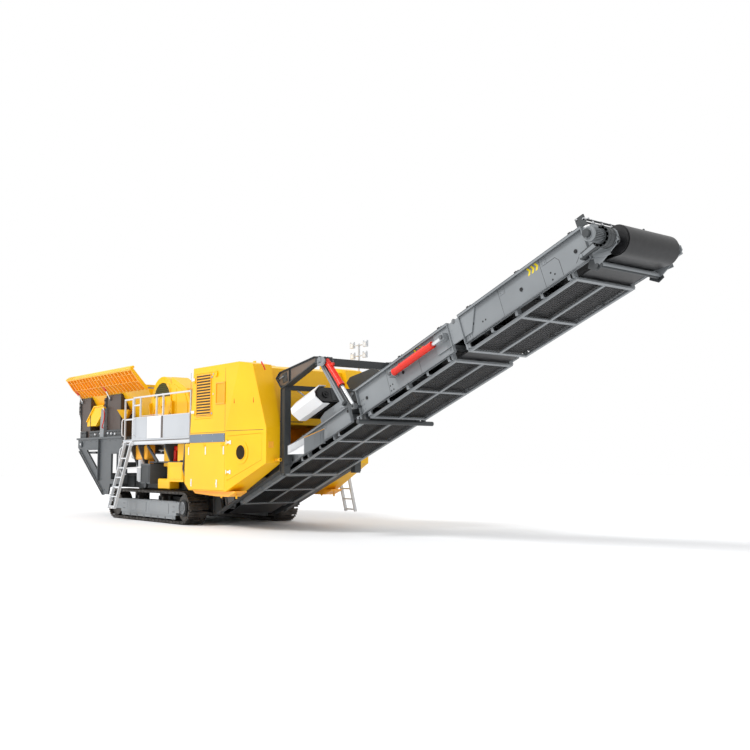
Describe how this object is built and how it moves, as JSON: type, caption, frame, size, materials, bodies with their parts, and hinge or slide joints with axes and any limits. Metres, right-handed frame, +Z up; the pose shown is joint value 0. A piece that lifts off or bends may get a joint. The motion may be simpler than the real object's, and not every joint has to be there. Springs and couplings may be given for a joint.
{
  "type": "track-mounted jaw crusher",
  "caption": "Track-mounted jaw crusher plant with feed hopper, side platforms, machine housing with doors, overband magnet and a long folding discharge conveyor.",
  "frame": {"origin": "on the ground under the middle of the whole plant's length and width", "axes": "+X from the feed hopper to the discharge head, +Y to the side with the light mast, +Z up"},
  "size_m": [19.5496, 3.958, 5.1395],
  "materials": {
    "yellow_paint": "gloss yellow machine paint",
    "plate_grey": "satin mid grey paint",
    "frame_grey": "satin dark grey paint",
    "light_grey": "satin light grey paint",
    "white_paint": "white paint",
    "red_paint": "gloss red paint",
    "track_steel": "worn dark steel",
    "belt_rubber": "matte black rubber",
    "mesh_black": "black painted mesh",
    "magnet_black": "black paint",
    "chromed_rod": "hard chrome"
  },
  "bodies": {
    "plant": {"belt": "belt_rubber", "conveyor_low": "plate_grey", "conveyor_mid": "plate_grey", "conveyor_top": "plate_grey", "cross_tube": "frame_grey", "crusher": "yellow_paint", "cylinder_barrels": "red_paint", "cylinder_rods": "chromed_rod", "engine_hood": "yellow_paint", "feeder": "plate_grey", "feeder_mounts": "frame_grey", "flywheel_guard_far": "yellow_paint", "flywheel_guard_near": "yellow_paint", "fold_plates": "plate_grey", "gantry": "frame_grey", "guard_frames": "plate_grey", "guard_mesh": "mesh_black", "head_drive": "plate_grey", "head_plates": "plate_grey", "hopper": "yellow_paint", "hopper_posts": "frame_grey", "idlers": "frame_grey", "light_mast": "light_grey", "magnet": "magnet_black", "magnet_chains": "chromed_rod", "magnet_chute": "light_grey", "magnet_cover": "white_paint", "main_frame": "frame_grey", "platform_brackets": "frame_grey", "platform_far": "light_grey", "platform_near": "light_grey", "pod_far": "yellow_paint", "pod_near": "yellow_paint", "railing_far": "light_grey", "railing_near": "light_grey", "rear_flap": "yellow_paint", "rear_frame_far": "plate_grey", "rear_frame_near": "plate_grey", "rear_ties": "frame_grey", "side_flap_far": "yellow_paint", "side_flap_near": "yellow_paint", "spray_bar": "frame_grey", "tail_frame": "frame_grey", "tanks": "yellow_paint", "track_beam_far": "plate_grey", "track_beam_near": "plate_grey", "track_chain_far": "track_steel", "track_chain_near": "track_steel", "track_wheels": "track_steel", "valve_cabinet": "plate_grey", "wedge_arms": "plate_grey"},
    "ladder_near": {"ladder_near": "light_grey"},
    "ladder_far": {"ladder_far": "light_grey"},
    "louvre_door": {"louvre_door": "yellow_paint"},
    "lower_door": {"lower_door": "yellow_paint"},
    "vent_door": {"vent_door": "yellow_paint"},
    "head_drum": {"head_drum": "frame_grey"}
  },
  "joints": [
    {"name": "ladder_near_swing", "type": "hinge", "parent": "plant", "child": "ladder_near", "pos_m": [-5.5448, -1.545, 1.92], "axis": [-1, 0, 0], "range_deg": [0, 150]},
    {"name": "ladder_far_swing", "type": "hinge", "parent": "plant", "child": "ladder_far", "pos_m": [-0.5848, 1.545, 1.92], "axis": [1, 0, 0], "range_deg": [0, 150]},
    {"name": "louvre_door_swing", "type": "hinge", "parent": "plant", "child": "louvre_door", "pos_m": [-1.7648, -1.51, 2.43], "axis": [0, 0, -1], "range_deg": [0, 110]},
    {"name": "lower_door_swing", "type": "hinge", "parent": "plant", "child": "lower_door", "pos_m": [-2.2128, -1.51, 1.825], "axis": [-1, 0, 0], "range_deg": [0, 95]},
    {"name": "vent_door_swing", "type": "hinge", "parent": "plant", "child": "vent_door", "pos_m": [-0.25412, -1.50201, 1.2], "axis": [0, 0, -1], "range_deg": [0, 90]},
    {"name": "head_drum_spin", "type": "hinge", "parent": "plant", "child": "head_drum", "pos_m": [9.5438, 0, 4.66706], "axis": [0, 1, 0], "continuous": true}
  ]
}
